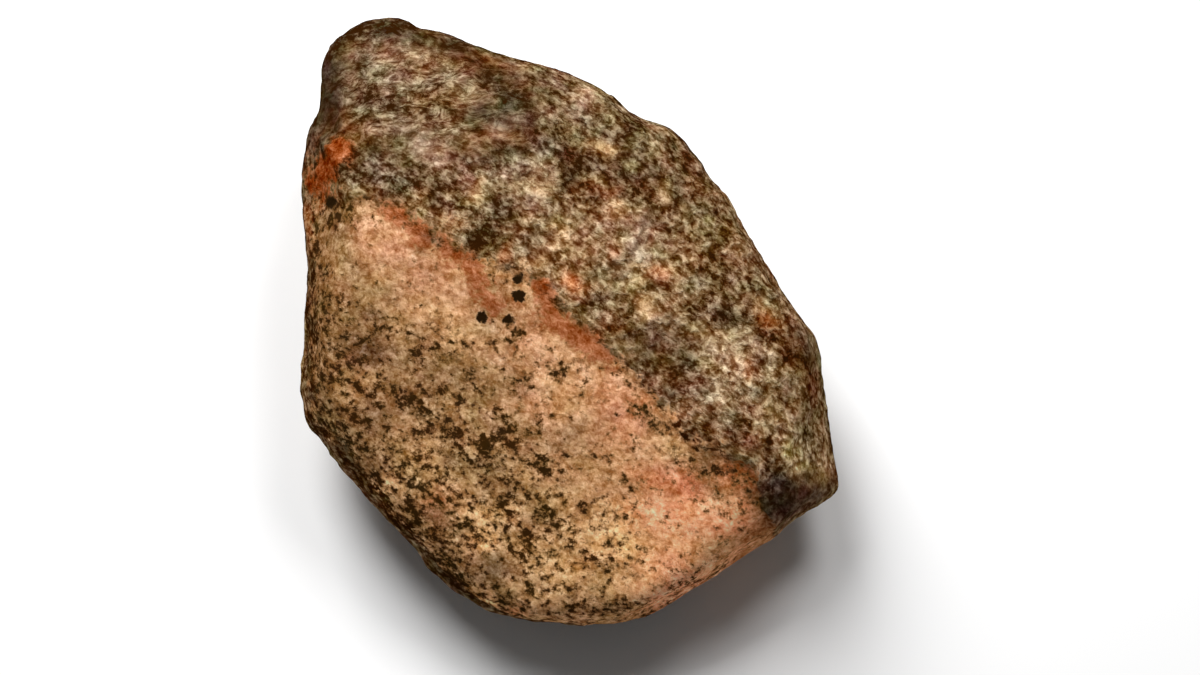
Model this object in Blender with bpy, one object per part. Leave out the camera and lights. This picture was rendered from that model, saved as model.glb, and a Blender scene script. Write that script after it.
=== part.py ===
"""Martian meteorite: one rough stone, about 0.37 m long, lying on its back.

The stone is worked out in a frame of its own, the face frame: u runs to the right across the broad
face, v runs up it, and w comes straight out of it. Its surface is the worn meeting of flat facets
with a wall that follows the outline of the broad face, and swells, lumps, hollows and the step of
the dark crust are added to that. The stone then leans back by LEAN and is cut off at the floor,
where it has a small flat spot. All lengths are in metres, and Z is up.
"""

import math

import bmesh
import bpy
import numpy as np

# How far the broad face leans back from looking straight up, and how high the middle of the face
# frame stands above the flat spot. SHIFT brings the middle of the stone's plan to the origin.
LEAN = math.radians(14)
MIDDLE_HEIGHT = 0.0735
SHIFT = (-0.00014, 0.00135)

# The outline of the broad face seen square on, as (u, v), clockwise from the top of the blunt tip.
OUTLINE = (
    (-0.0997, 0.1690), (-0.1170, 0.1665), (-0.1256, 0.1616), (-0.1334, 0.1520),
    (-0.1372, 0.1322), (-0.1388, 0.1180), (-0.1438, 0.1047), (-0.1479, 0.0799),
    (-0.1461, 0.0534), (-0.1453, 0.0275), (-0.1450, -0.0050), (-0.1480, -0.0330),
    (-0.1473, -0.0457), (-0.1450, -0.0586), (-0.1362, -0.0680), (-0.1192, -0.0905),
    (-0.0860, -0.1260), (-0.0802, -0.1382), (-0.0708, -0.1446), (-0.0490, -0.1604),
    (-0.0371, -0.1645), (-0.0068, -0.1683), (0.0189, -0.1688), (0.0386, -0.1660),
    (0.0542, -0.1587), (0.0860, -0.1377), (0.1131, -0.1190), (0.1298, -0.1062),
    (0.1436, -0.0999), (0.1500, -0.0960), (0.1514, -0.0905), (0.1470, -0.0704),
    (0.1434, -0.0522), (0.1402, -0.0244), (0.1383, -0.0160), (0.1325, -0.0041),
    (0.1168, 0.0174), (0.1022, 0.0416), (0.0882, 0.0658), (0.0787, 0.0766),
    (0.0715, 0.0885), (0.0644, 0.0981), (0.0548, 0.1058), (0.0369, 0.1124),
    (0.0242, 0.1228), (0.0045, 0.1350), (-0.0163, 0.1418), (-0.0416, 0.1488),
    (-0.0622, 0.1573), (-0.0705, 0.1604), (-0.0837, 0.1628), (-0.0896, 0.1668),
)

# The flat facets: a point on each (u, v, w), the way that it looks (degrees round from u towards
# v), and how far it looks away from straight out of the broad face (degrees).
FACETS = {
    "pale face": (0.000, -0.002, 0.070, 238, 12),
    "dark face": (0.000, -0.002, 0.070, 58, 17),
    "tip face": (-0.085, 0.100, 0.047, 104, 27),
    "right shoulder": (0.098, 0.010, 0.050, 24, 28),
    "right corner": (0.106, -0.088, 0.065, 312, 42),
    "right rim": (0.128, -0.030, 0.045, 358, 58),
    "upper right rim": (0.068, 0.082, 0.034, 44, 52),
    "top rim": (-0.060, 0.148, 0.025, 76, 58),
    "tip end": (-0.111, 0.157, 0.017, 112, 60),
    "tip side": (-0.128, 0.120, 0.033, 168, 55),
    "left rim": (-0.138, 0.000, 0.050, 182, 60),
    "lower left rim": (-0.122, -0.062, 0.041, 218, 56),
    "lower edge": (-0.070, -0.132, 0.036, 232, 64),
    "bottom rim": (0.010, -0.1645, 0.041, 272, 62),
    "lower right rim": (0.074, -0.1425, 0.052, 300, 68),
    "under left": (-0.147, 0.010, -0.037, 184, 126),
    "under lower left": (-0.108, -0.100, -0.017, 222, 118),
    "under bottom": (0.010, -0.169, 0.003, 274, 114),
    "under lower right": (0.100, -0.129, -0.008, 306, 124),
    "under right": (0.142, -0.045, -0.030, 354, 120),
    "under upper right": (0.088, 0.066, -0.044, 36, 126),
    "under top": (-0.040, 0.146, -0.056, 84, 124),
    "under tip": (-0.112, 0.158, -0.030, 128, 132),
    "under upper left": (-0.145, 0.090, -0.048, 166, 118),
    "back far": (-0.010, 0.042, -0.0850, 72, 172),
    "back left": (-0.068, -0.020, -0.0700, 205, 158),
    "back near": (-0.005, -0.075, -0.0545, 268, 154),
    "back right": (0.046, -0.030, -0.0675, 322, 160),
    "back far left": (-0.050, 0.030, -0.0815, 150, 167),
}
WORN = 0.0036

# The wall round the stone is widest at its own level, which wanders up and down. It leans in above
# and below that level by these shares of the height, with a round bend between them.
WALL_LEVEL = 0.006
WALL_WANDER = (0.100, 0.016)
WALL_LEAN_UP = 0.06
WALL_LEAN_DOWN = 0.10
WALL_BEND = 0.010

# WALL_REACH above and below its level the wall follows the outline only loosely, evened out over
# this many degrees to each side and hardly proud of it, and long hollows are worn into it.
WALL_REACH = 0.026
WALL_EVENING = 14
WALL_PROUD = 0.001
WALL_HOLLOWS = (0.042, 0.0050, 0.6)

# At its level the wall takes only the outline's shape: the relief is lower there by this share, as
# deep into the stone as WALL_DEPTH.
WALL_CALM = 0.7
WALL_DEPTH = 0.012

# The seam where the dark crust ends and the pale face begins, as (u, v), and the step down there.
SEAM = (
    (-0.1466, 0.0689), (-0.1069, 0.0634), (-0.0766, 0.0452), (-0.0518, 0.0320),
    (-0.0259, 0.0264), (-0.0022, 0.0055), (0.0281, -0.0209), (0.0501, -0.0468),
    (0.0639, -0.0661), (0.0986, -0.0782), (0.1030, -0.0937), (0.1130, -0.1190),
)
SEAM_STEP = 0.0022
SEAM_WIDTH = 0.006
SEAM_SLANT = 0.8

# Swells bend the facets but not the outline. Lumps, roughness and the shallow scoops of old chips
# lie on everything, and the smooth pale face, which ends on the rims at PALE_LEVEL, has only a
# share of them. Each has the distance between its humps, or the width of its scoops, and its height.
SWELLS = (0.080, 0.0040)
LUMPS = (0.036, 0.0020)
ROUGHNESS = (0.015, 0.0017)
CHIPS = (0.034, 0.0050)
CHIP_MIDDLE = 0.4
PALE_SHARE = 0.35
PALE_LEVEL = (0.020, 0.040)

# Hollows worn into the stone: the middle of each (u, v, w), its radius and its depth.
HOLLOWS = {
    "below the top edge": (0.012, 0.088, 0.046, 0.017, 0.0024),
    "over the seam": (0.056, -0.016, 0.062, 0.015, 0.0028),
    "at the ridge": (-0.046, 0.047, 0.068, 0.011, 0.0016),
    "left nick": (-0.134, 0.109, 0.022, 0.009, 0.0030),
    "right scoop": (0.136, -0.026, -0.034, 0.028, 0.0060),
    "back scoop": (-0.060, 0.110, -0.062, 0.036, 0.0070),
    "back right scoop": (0.095, 0.030, -0.048, 0.026, 0.0050),
    "left scoop": (-0.144, 0.030, -0.036, 0.028, 0.0060),
    "near scoop": (-0.040, -0.152, -0.022, 0.024, 0.0050),
    "near right scoop": (0.080, -0.130, -0.018, 0.020, 0.0040),
    "back pit": (0.020, 0.120, -0.030, 0.012, 0.0040),
    "left pit": (-0.130, -0.070, -0.010, 0.012, 0.0035),
}

# The grid on each side of the cube that the stone is cast from, how that cube is stretched, and
# how many triangles are left after the flat stretches are thinned out.
SIDE_CELLS = 72
STRETCH = (0.150, 0.168, 0.100)
TRIANGLES = 9600


def outline_tables():
    """Against the angle round the stone: the outline's radius, the same evened out, and how square
    the evened outline lies to its radius."""
    corners = np.array(OUTLINE[::-1])
    before, after, beyond = (np.roll(corners, -k, axis=0) for k in (-1, 1, 2))
    steps = np.linspace(0, 1, 12, endpoint=False)[:, None, None]
    # A Catmull-Rom curve through the corners.
    curve = 0.5 * (
        2 * corners
        + steps * (after - before)
        + steps**2 * (2 * before - 5 * corners + 4 * after - beyond)
        + steps**3 * (3 * corners - before - 3 * after + beyond)
    )
    curve = curve.transpose(1, 0, 2).reshape(-1, 2)
    angles = np.arctan2(curve[:, 1], curve[:, 0])
    radii = np.hypot(curve[:, 0], curve[:, 1])
    order = np.argsort(angles)
    even = np.linspace(-math.pi, math.pi, 721)
    radius = np.interp(even, angles[order], radii[order], period=2 * math.pi)
    reach = 2 * WALL_EVENING
    window = np.hanning(2 * reach + 3)[1:-1]
    evened = np.convolve(np.pad(radius[:-1], reach, "wrap"), window / window.sum(), "valid")
    evened = np.append(evened, evened[0])
    return even, radius, evened, evened / np.hypot(evened, np.gradient(evened, even))


EVEN, RADIUS, EVENED_RADIUS, SQUARENESS = outline_tables()


def scattered(cells, seed):
    """Three numbers from 0 to 1 for each cell of a lattice, mixed from its place by a hash."""
    mixed = cells @ np.array([374761393, 668265263, 1442695041]) + seed * 69069
    numbers = []
    for _ in range(3):
        mixed = (mixed ^ (mixed >> 15)) * 2246822519 & 0xFFFFFFFF
        numbers.append(mixed / 0xFFFFFFFF)
    return np.stack(numbers, axis=1)


def smooth_noise(points, seed):
    """Noise from about -1 to 1: a lattice of scattered slopes, blended by an s-curve."""
    cells = np.floor(points).astype(np.int64)
    inner = points - cells
    blend = inner**3 * (inner * (inner * 6 - 15) + 10)
    total = 0.0
    for corner in np.ndindex(2, 2, 2):
        slope = np.sum((2 * scattered(cells + corner, seed) - 1) * (inner - corner), axis=1)
        total = total + slope * np.prod(np.where(corner, blend, 1 - blend), axis=1)
    return total


def chip_noise(points, seed):
    """0 in the middle of each scoop and up to 1 on the sharp ridges between: the distance squared
    to the nearest of a lattice of scattered middles."""
    cells = np.floor(points).astype(np.int64)
    nearest = np.inf
    for corner in np.ndindex(3, 3, 3):
        cell = cells + corner - 1
        nearest = np.minimum(nearest, np.sum((cell + scattered(cell, seed) - points) ** 2, axis=1))
    return nearest


def smooth_step(values):
    """An s-curve from 0 at 0 to 1 at 1."""
    held = np.clip(values, 0, 1)
    return held * held * (3 - 2 * held)


def facet_distances(points):
    """How far each point lies outside each facet's plane: one column for each facet."""
    table = np.array(list(FACETS.values()))
    looks = np.radians(table[:, 3])
    leans = np.radians(table[:, 4])
    normals = np.stack([np.sin(leans) * np.cos(looks), np.sin(leans) * np.sin(looks), np.cos(leans)])
    swell = SWELLS[1] * smooth_noise(points / SWELLS[0], 1)
    return points @ normals - np.sum(table[:, :3] * normals.T, axis=1) - swell[:, None]


def wall_distance(points):
    """How far each point lies outside the wall, which leans in above and below its widest level,
    and how loosely it follows the outline there, from 0 at that level to 1 well away from it."""
    u, v, w = points.T
    angle = np.arctan2(v, u)
    away = w - WALL_LEVEL - WALL_WANDER[1] * smooth_noise(points * (1, 1, 0) / WALL_WANDER[0], 5)
    loose = smooth_step(np.abs(away) / WALL_REACH)
    true_radius = np.interp(angle, EVEN, RADIUS)
    loose_radius = np.minimum(np.interp(angle, EVEN, EVENED_RADIUS), true_radius + WALL_PROUD)
    radius = true_radius + loose * (loose_radius - true_radius)
    out = (np.hypot(u, v) - radius) * np.interp(angle, EVEN, SQUARENESS)
    bent = np.hypot(away, WALL_BEND) - WALL_BEND
    leant = (WALL_LEAN_UP * (bent + away) + WALL_LEAN_DOWN * (bent - away)) / 2
    width, depth, everywhere = WALL_HOLLOWS
    worn = depth * loose * (everywhere + smooth_noise(points / width, 4))
    return out + leant + worn, loose


def above_seam(points):
    """How far each point lies on the dark side of the seam, about square to it."""
    seam_u, seam_v = np.array(SEAM).T
    return SEAM_SLANT * (points[:, 1] - np.interp(points[:, 0], seam_u, seam_v))


def relief(points):
    """Height added to the stone: lumps, roughness, the step of the dark crust, and the hollows."""
    dark = smooth_step(above_seam(points) / SEAM_WIDTH + 0.5)
    low, high = PALE_LEVEL
    pale = (1 - dark) * smooth_step((points[:, 2] - low) / (high - low))
    height = LUMPS[1] * smooth_noise(points / LUMPS[0], 2)
    height = height + ROUGHNESS[1] * smooth_noise(points / ROUGHNESS[0], 3)
    height = height + CHIPS[1] * (chip_noise(points / CHIPS[0], 6) - CHIP_MIDDLE)
    height = height * (1 - (1 - PALE_SHARE) * pale) - SEAM_STEP * pale
    for u, v, w, radius, depth in HOLLOWS.values():
        squared = np.sum((points - (u, v, w)) ** 2, axis=1) / radius**2
        height -= depth * np.exp(-squared)
    return height


def form_distance(points):
    """The smooth maximum of all facets and the wall: below 0 inside the stone, above 0 outside."""
    wall, loose = wall_distance(points)
    sides = np.column_stack([facet_distances(points), wall])
    calm = 1 - WALL_CALM * (1 - loose) * smooth_step(1 + wall / WALL_DEPTH)
    return WORN * np.logaddexp.reduce(sides / WORN, axis=1) - relief(points) * calm


def cast(directions):
    """Where the ray from the middle along each direction leaves the form, found by halving."""
    near, far = np.zeros(len(directions)), np.full(len(directions), 2.5)
    for _ in range(24):
        half = (near + far) / 2
        inside = form_distance(directions * half[:, None]) < 0
        near, far = np.where(inside, half, near), np.where(inside, far, half)
    return directions * near[:, None]


def to_world(points):
    """Turns points of the face frame back by LEAN and sets them at their height above the floor."""
    u, v, w = points.T
    lean_cos, lean_sin = math.cos(LEAN), math.sin(LEAN)
    forth = v * lean_cos - w * lean_sin
    up = v * lean_sin + w * lean_cos
    return np.column_stack([u + SHIFT[0], forth + SHIFT[1], up + MIDDLE_HEIGHT])


def cast_stone(mesh):
    """Turns a gridded cube from -1 to 1 into the stone."""
    corners = np.empty(len(mesh.vertices) * 3)
    mesh.vertices.foreach_get("co", corners)
    directions = np.tan(corners.reshape(-1, 3) * math.pi / 4)
    directions /= np.linalg.norm(directions, axis=1, keepdims=True)
    points = to_world(cast(directions * STRETCH))
    mesh.vertices.foreach_set("co", points.ravel())
    mesh.update()


def thin_out(mesh, collection):
    """The same form in far fewer triangles, which crowd where the surface bends."""
    thick = bpy.data.objects.new("fine_stone", mesh)
    collection.objects.link(thick)
    thinner = thick.modifiers.new("thin out", "DECIMATE")
    thinner.ratio = TRIANGLES / (2 * len(mesh.polygons))
    bpy.context.view_layer.update()
    thinned = bpy.data.meshes.new_from_object(thick.evaluated_get(bpy.context.evaluated_depsgraph_get()))
    bpy.data.objects.remove(thick)
    return thinned


def cut_flat_spot(mesh):
    """Cuts the stone off at the floor and closes it with one flat face."""
    bm = bmesh.new()
    bm.from_mesh(mesh)
    everything = [*bm.verts, *bm.edges, *bm.faces]
    cut = bmesh.ops.bisect_plane(
        bm, geom=everything, dist=0.0001, plane_co=(0, 0, 0), plane_no=(0, 0, -1), clear_outer=True
    )
    rim = [edge for edge in cut["geom_cut"] if isinstance(edge, bmesh.types.BMEdge)]
    bmesh.ops.contextual_create(bm, geom=rim)
    bmesh.ops.recalc_face_normals(bm, faces=bm.faces)
    bm.to_mesh(mesh)
    bm.free()


def stone_material():
    """Brown weathered stone, dull, in one colour."""
    material = bpy.data.materials.new("weathered_stone")
    material.use_nodes = True
    shader = material.node_tree.nodes["Principled BSDF"]
    shader.inputs["Base Color"].default_value = (0.26, 0.13, 0.06, 1)
    shader.inputs["Roughness"].default_value = 0.75
    shader.inputs["Metallic"].default_value = 0.0
    return material


def build():
    for obj in list(bpy.data.objects):
        bpy.data.objects.remove(obj)
    parts = bpy.data.collections.new("martian_meteorite")
    bpy.context.scene.collection.children.link(parts)

    cube = bpy.data.meshes.new("cube")
    bm = bmesh.new()
    bmesh.ops.create_cube(bm, size=2)
    bmesh.ops.subdivide_edges(bm, edges=bm.edges, cuts=SIDE_CELLS - 1, use_grid_fill=True)
    bm.to_mesh(cube)
    bm.free()
    cast_stone(cube)
    stone = thin_out(cube, parts)
    stone.name = "meteorite"
    cut_flat_spot(stone)
    stone.materials.append(stone_material())
    stone.shade_smooth()
    parts.objects.link(bpy.data.objects.new("meteorite", stone))


build()
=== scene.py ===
"""Martian meteorite: a rough stone with one smooth salmon face, lying on its back on a pale floor."""

import math

import bpy
import numpy as np
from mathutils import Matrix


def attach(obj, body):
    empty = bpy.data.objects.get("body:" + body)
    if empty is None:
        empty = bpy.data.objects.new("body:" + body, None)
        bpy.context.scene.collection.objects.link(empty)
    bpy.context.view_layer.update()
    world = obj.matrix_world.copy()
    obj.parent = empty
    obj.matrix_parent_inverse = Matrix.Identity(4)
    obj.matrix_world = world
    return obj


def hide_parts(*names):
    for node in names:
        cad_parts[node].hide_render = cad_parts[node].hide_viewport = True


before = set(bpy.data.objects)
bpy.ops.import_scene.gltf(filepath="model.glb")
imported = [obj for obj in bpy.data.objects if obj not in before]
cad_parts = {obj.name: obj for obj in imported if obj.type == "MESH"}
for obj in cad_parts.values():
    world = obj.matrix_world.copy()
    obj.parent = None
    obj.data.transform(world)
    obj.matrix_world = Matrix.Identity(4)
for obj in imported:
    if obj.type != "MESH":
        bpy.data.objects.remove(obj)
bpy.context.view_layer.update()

# The stone's form
# The meteorite is one natural stone that broke into flat facets and wore round at their edges. It
# lies on its back on a small flat spot. This is the same form as the solid's, on a finer grid.

# It is worked out in the face frame, in metres: u runs to the right across the broad face, v runs
# up it, and w comes straight out of it. The frame leans by this angle, and its middle is this high.
LEAN = math.radians(14)
MIDDLE_HEIGHT = 0.0735
SHIFT = (-0.00014, 0.00135)

# The outline of the broad face, seen straight on.
OUTLINE = (
    (-0.0997, 0.1690), (-0.1170, 0.1665), (-0.1256, 0.1616), (-0.1334, 0.1520),
    (-0.1372, 0.1322), (-0.1388, 0.1180), (-0.1438, 0.1047), (-0.1479, 0.0799),
    (-0.1461, 0.0534), (-0.1453, 0.0275), (-0.1450, -0.0050), (-0.1480, -0.0330),
    (-0.1473, -0.0457), (-0.1450, -0.0586), (-0.1362, -0.0680), (-0.1192, -0.0905),
    (-0.0860, -0.1260), (-0.0802, -0.1382), (-0.0708, -0.1446), (-0.0490, -0.1604),
    (-0.0371, -0.1645), (-0.0068, -0.1683), (0.0189, -0.1688), (0.0386, -0.1660),
    (0.0542, -0.1587), (0.0860, -0.1377), (0.1131, -0.1190), (0.1298, -0.1062),
    (0.1436, -0.0999), (0.1500, -0.0960), (0.1514, -0.0905), (0.1470, -0.0704),
    (0.1434, -0.0522), (0.1402, -0.0244), (0.1383, -0.0160), (0.1325, -0.0041),
    (0.1168, 0.0174), (0.1022, 0.0416), (0.0882, 0.0658), (0.0787, 0.0766),
    (0.0715, 0.0885), (0.0644, 0.0981), (0.0548, 0.1058), (0.0369, 0.1124),
    (0.0242, 0.1228), (0.0045, 0.1350), (-0.0163, 0.1418), (-0.0416, 0.1488),
    (-0.0622, 0.1573), (-0.0705, 0.1604), (-0.0837, 0.1628), (-0.0896, 0.1668),
)

# A point on each flat facet (u, v, w), the way that it looks (degrees round from u towards v), and
# how far it looks away from straight out of the broad face (degrees).
FACETS = {
    "pale face": (0.000, -0.002, 0.070, 238, 12),
    "dark face": (0.000, -0.002, 0.070, 58, 17),
    "tip face": (-0.085, 0.100, 0.047, 104, 27),
    "right shoulder": (0.098, 0.010, 0.050, 24, 28),
    "right corner": (0.106, -0.088, 0.065, 312, 42),
    "right rim": (0.128, -0.030, 0.045, 358, 58),
    "upper right rim": (0.068, 0.082, 0.034, 44, 52),
    "top rim": (-0.060, 0.148, 0.025, 76, 58),
    "tip end": (-0.111, 0.157, 0.017, 112, 60),
    "tip side": (-0.128, 0.120, 0.033, 168, 55),
    "left rim": (-0.138, 0.000, 0.050, 182, 60),
    "lower left rim": (-0.122, -0.062, 0.041, 218, 56),
    "lower edge": (-0.070, -0.132, 0.036, 232, 64),
    "bottom rim": (0.010, -0.1645, 0.041, 272, 62),
    "lower right rim": (0.074, -0.1425, 0.052, 300, 68),
    "under left": (-0.147, 0.010, -0.037, 184, 126),
    "under lower left": (-0.108, -0.100, -0.017, 222, 118),
    "under bottom": (0.010, -0.169, 0.003, 274, 114),
    "under lower right": (0.100, -0.129, -0.008, 306, 124),
    "under right": (0.142, -0.045, -0.030, 354, 120),
    "under upper right": (0.088, 0.066, -0.044, 36, 126),
    "under top": (-0.040, 0.146, -0.056, 84, 124),
    "under tip": (-0.112, 0.158, -0.030, 128, 132),
    "under upper left": (-0.145, 0.090, -0.048, 166, 118),
    "back far": (-0.010, 0.042, -0.0850, 72, 172),
    "back left": (-0.068, -0.020, -0.0700, 205, 158),
    "back near": (-0.005, -0.075, -0.0545, 268, 154),
    "back right": (0.046, -0.030, -0.0675, 322, 160),
    "back far left": (-0.050, 0.030, -0.0815, 150, 167),
}
WORN = 0.0036

# The wall round the stone is widest at its own level, which wanders up and down, and leans in above
# and below it. Away from that level it follows the outline only loosely, with long hollows worn
# into it, and at that level the relief is lower, so that the outline keeps its shape.
WALL_LEVEL = 0.006
WALL_WANDER = (0.100, 0.016)
WALL_LEAN_UP = 0.06
WALL_LEAN_DOWN = 0.10
WALL_BEND = 0.010
WALL_REACH = 0.026
WALL_EVENING = 14
WALL_PROUD = 0.001
WALL_HOLLOWS = (0.042, 0.0050, 0.6)
WALL_CALM = 0.7
WALL_DEPTH = 0.012

# The seam where the dark crust ends and the pale face begins, as (u, v), and the step down there.
SEAM = (
    (-0.1466, 0.0689), (-0.1069, 0.0634), (-0.0766, 0.0452), (-0.0518, 0.0320),
    (-0.0259, 0.0264), (-0.0022, 0.0055), (0.0281, -0.0209), (0.0501, -0.0468),
    (0.0639, -0.0661), (0.0986, -0.0782), (0.1030, -0.0937), (0.1130, -0.1190),
)
SEAM_STEP = 0.0022
SEAM_WIDTH = 0.006
SEAM_SLANT = 0.8

# The distance between the humps of each kind of relief, or the width of its scoops, and its height.
SWELLS = (0.080, 0.0040)
LUMPS = (0.036, 0.0020)
ROUGHNESS = (0.015, 0.0017)
CHIPS = (0.034, 0.0050)
CHIP_MIDDLE = 0.4
PALE_SHARE = 0.35
PALE_LEVEL = (0.020, 0.040)

# Hollows worn into the stone: the middle of each (u, v, w), its radius and its depth.
HOLLOWS = {
    "below the top edge": (0.012, 0.088, 0.046, 0.017, 0.0024),
    "over the seam": (0.056, -0.016, 0.062, 0.015, 0.0028),
    "at the ridge": (-0.046, 0.047, 0.068, 0.011, 0.0016),
    "left nick": (-0.134, 0.109, 0.022, 0.009, 0.0030),
    "right scoop": (0.136, -0.026, -0.034, 0.028, 0.0060),
    "back scoop": (-0.060, 0.110, -0.062, 0.036, 0.0070),
    "back right scoop": (0.095, 0.030, -0.048, 0.026, 0.0050),
    "left scoop": (-0.144, 0.030, -0.036, 0.028, 0.0060),
    "near scoop": (-0.040, -0.152, -0.022, 0.024, 0.0050),
    "near right scoop": (0.080, -0.130, -0.018, 0.020, 0.0040),
    "back pit": (0.020, 0.120, -0.030, 0.012, 0.0040),
    "left pit": (-0.130, -0.070, -0.010, 0.012, 0.0035),
}

# The grid's cells along each side of the cube that it is spread from, and the stone's half sizes.
SIDE_CELLS = 128
STRETCH = (0.150, 0.168, 0.100)

# A ray leaves the stone between these shares of the half sizes, and is halved this often.
RAY_START = 0.4
RAY_END = 1.9
HALVINGS = 9

# Points from one corner of the outline to the next, and places in the tables round the stone.
CURVE_STEPS = 12
ANGLE_STEPS = 721


def outline_tables():
    """Against the angle round the stone: the outline's radius, the same evened out, and how square
    the evened outline lies to its radius."""
    corners = np.array(OUTLINE[::-1])
    before, after, beyond = (np.roll(corners, -k, axis=0) for k in (-1, 1, 2))
    steps = np.linspace(0, 1, CURVE_STEPS, endpoint=False)[:, None, None]
    # A Catmull-Rom curve through the corners.
    curve = 0.5 * (
        2 * corners
        + steps * (after - before)
        + steps**2 * (2 * before - 5 * corners + 4 * after - beyond)
        + steps**3 * (3 * corners - before - 3 * after + beyond)
    )
    curve = curve.transpose(1, 0, 2).reshape(-1, 2)
    angles = np.arctan2(curve[:, 1], curve[:, 0])
    radii = np.hypot(curve[:, 0], curve[:, 1])
    order = np.argsort(angles)
    even = np.linspace(-math.pi, math.pi, ANGLE_STEPS)
    radius = np.interp(even, angles[order], radii[order], period=2 * math.pi)
    reach = 2 * WALL_EVENING
    window = np.hanning(2 * reach + 3)[1:-1]
    evened = np.convolve(np.pad(radius[:-1], reach, "wrap"), window / window.sum(), "valid")
    evened = np.append(evened, evened[0])
    return even, radius, evened, evened / np.hypot(evened, np.gradient(evened, even))


EVEN, RADIUS, EVENED_RADIUS, SQUARENESS = outline_tables()


# Large odd numbers that mix a cell's place and the seed, and the largest number of 32 bits.
CELL_MIXERS = (374761393, 668265263, 1442695041)
SEED_MIXER = 69069
ROUND_MIXER = 2246822519
LARGEST = 0xFFFFFFFF


def scattered(cells, seed):
    """Three numbers from 0 to 1 for each cell of a lattice, mixed from its place by a hash."""
    mixed = cells @ np.array(CELL_MIXERS) + seed * SEED_MIXER
    numbers = []
    for _ in range(3):
        mixed = (mixed ^ (mixed >> 15)) * ROUND_MIXER & LARGEST
        numbers.append(mixed / LARGEST)
    return np.stack(numbers, axis=1)


def smooth_noise(points, seed):
    """Noise from about -1 to 1: a lattice of scattered slopes, blended by an s-curve."""
    cells = np.floor(points).astype(np.int64)
    inner = points - cells
    blend = inner**3 * (inner * (inner * 6 - 15) + 10)
    total = 0.0
    for corner in np.ndindex(2, 2, 2):
        slope = np.sum((2 * scattered(cells + corner, seed) - 1) * (inner - corner), axis=1)
        total = total + slope * np.prod(np.where(corner, blend, 1 - blend), axis=1)
    return total


def chip_noise(points, seed):
    """0 in the middle of each scoop and up to 1 on the sharp ridges between: the distance squared
    to the nearest of a lattice of scattered middles."""
    cells = np.floor(points).astype(np.int64)
    nearest = np.inf
    for corner in np.ndindex(3, 3, 3):
        cell = cells + corner - 1
        nearest = np.minimum(nearest, np.sum((cell + scattered(cell, seed) - points) ** 2, axis=1))
    return nearest


def smooth_step(values):
    """An s-curve from 0 at 0 to 1 at 1."""
    held = np.clip(values, 0, 1)
    return held * held * (3 - 2 * held)


def facet_distances(points):
    """How far each point lies outside each facet's plane: one column for each facet."""
    table = np.array(list(FACETS.values()))
    looks = np.radians(table[:, 3])
    leans = np.radians(table[:, 4])
    normals = np.stack([np.sin(leans) * np.cos(looks), np.sin(leans) * np.sin(looks), np.cos(leans)])
    swell = SWELLS[1] * smooth_noise(points / SWELLS[0], seed=1)
    return points @ normals - np.sum(table[:, :3] * normals.T, axis=1) - swell[:, None]


def wall_distance(points):
    """How far each point lies outside the wall, which leans in above and below its widest level,
    and how loosely it follows the outline there, from 0 at that level to 1 well away from it."""
    u, v, w = points.T
    angle = np.arctan2(v, u)
    wander = WALL_WANDER[1] * smooth_noise(points * (1, 1, 0) / WALL_WANDER[0], seed=5)
    away = w - WALL_LEVEL - wander
    loose = smooth_step(np.abs(away) / WALL_REACH)
    true_radius = np.interp(angle, EVEN, RADIUS)
    loose_radius = np.minimum(np.interp(angle, EVEN, EVENED_RADIUS), true_radius + WALL_PROUD)
    radius = true_radius + loose * (loose_radius - true_radius)
    out = (np.hypot(u, v) - radius) * np.interp(angle, EVEN, SQUARENESS)
    bent = np.hypot(away, WALL_BEND) - WALL_BEND
    leant = (WALL_LEAN_UP * (bent + away) + WALL_LEAN_DOWN * (bent - away)) / 2
    width, depth, everywhere = WALL_HOLLOWS
    worn = depth * loose * (everywhere + smooth_noise(points / width, seed=4))
    return out + leant + worn, loose


def above_seam(points):
    """How far each point lies on the dark side of the seam, about square to it."""
    seam_u, seam_v = np.array(SEAM).T
    return SEAM_SLANT * (points[:, 1] - np.interp(points[:, 0], seam_u, seam_v))


def relief(points):
    """Height added to the stone: lumps, roughness, the step of the dark crust, and the hollows."""
    dark = smooth_step(above_seam(points) / SEAM_WIDTH + 0.5)
    low, high = PALE_LEVEL
    pale = (1 - dark) * smooth_step((points[:, 2] - low) / (high - low))
    height = LUMPS[1] * smooth_noise(points / LUMPS[0], seed=2)
    height = height + ROUGHNESS[1] * smooth_noise(points / ROUGHNESS[0], seed=3)
    height = height + CHIPS[1] * (chip_noise(points / CHIPS[0], seed=6) - CHIP_MIDDLE)
    height = height * (1 - (1 - PALE_SHARE) * pale) - SEAM_STEP * pale
    for u, v, w, radius, depth in HOLLOWS.values():
        squared = np.sum((points - (u, v, w)) ** 2, axis=1) / radius**2
        height -= depth * np.exp(-squared)
    return height


def form_distance(points):
    """The smooth maximum of all facets and the wall: below 0 inside the stone, above 0 outside."""
    wall, loose = wall_distance(points)
    sides = np.column_stack([facet_distances(points), wall])
    calm = 1 - WALL_CALM * (1 - loose) * smooth_step(1 + wall / WALL_DEPTH)
    return WORN * np.logaddexp.reduce(sides / WORN, axis=1) - relief(points) * calm


def cast(directions):
    """Where the ray from the middle along each direction leaves the form: found by halving, and then
    by a straight line between the depths at the last two places."""
    near, far = np.full(len(directions), RAY_START), np.full(len(directions), RAY_END)
    for _ in range(HALVINGS):
        half = (near + far) / 2
        inside = form_distance(directions * half[:, None]) < 0
        near, far = np.where(inside, half, near), np.where(inside, far, half)
    below, above = (form_distance(directions * end[:, None]) for end in (near, far))
    return directions * (near - below * (far - near) / (above - below))[:, None]


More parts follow.
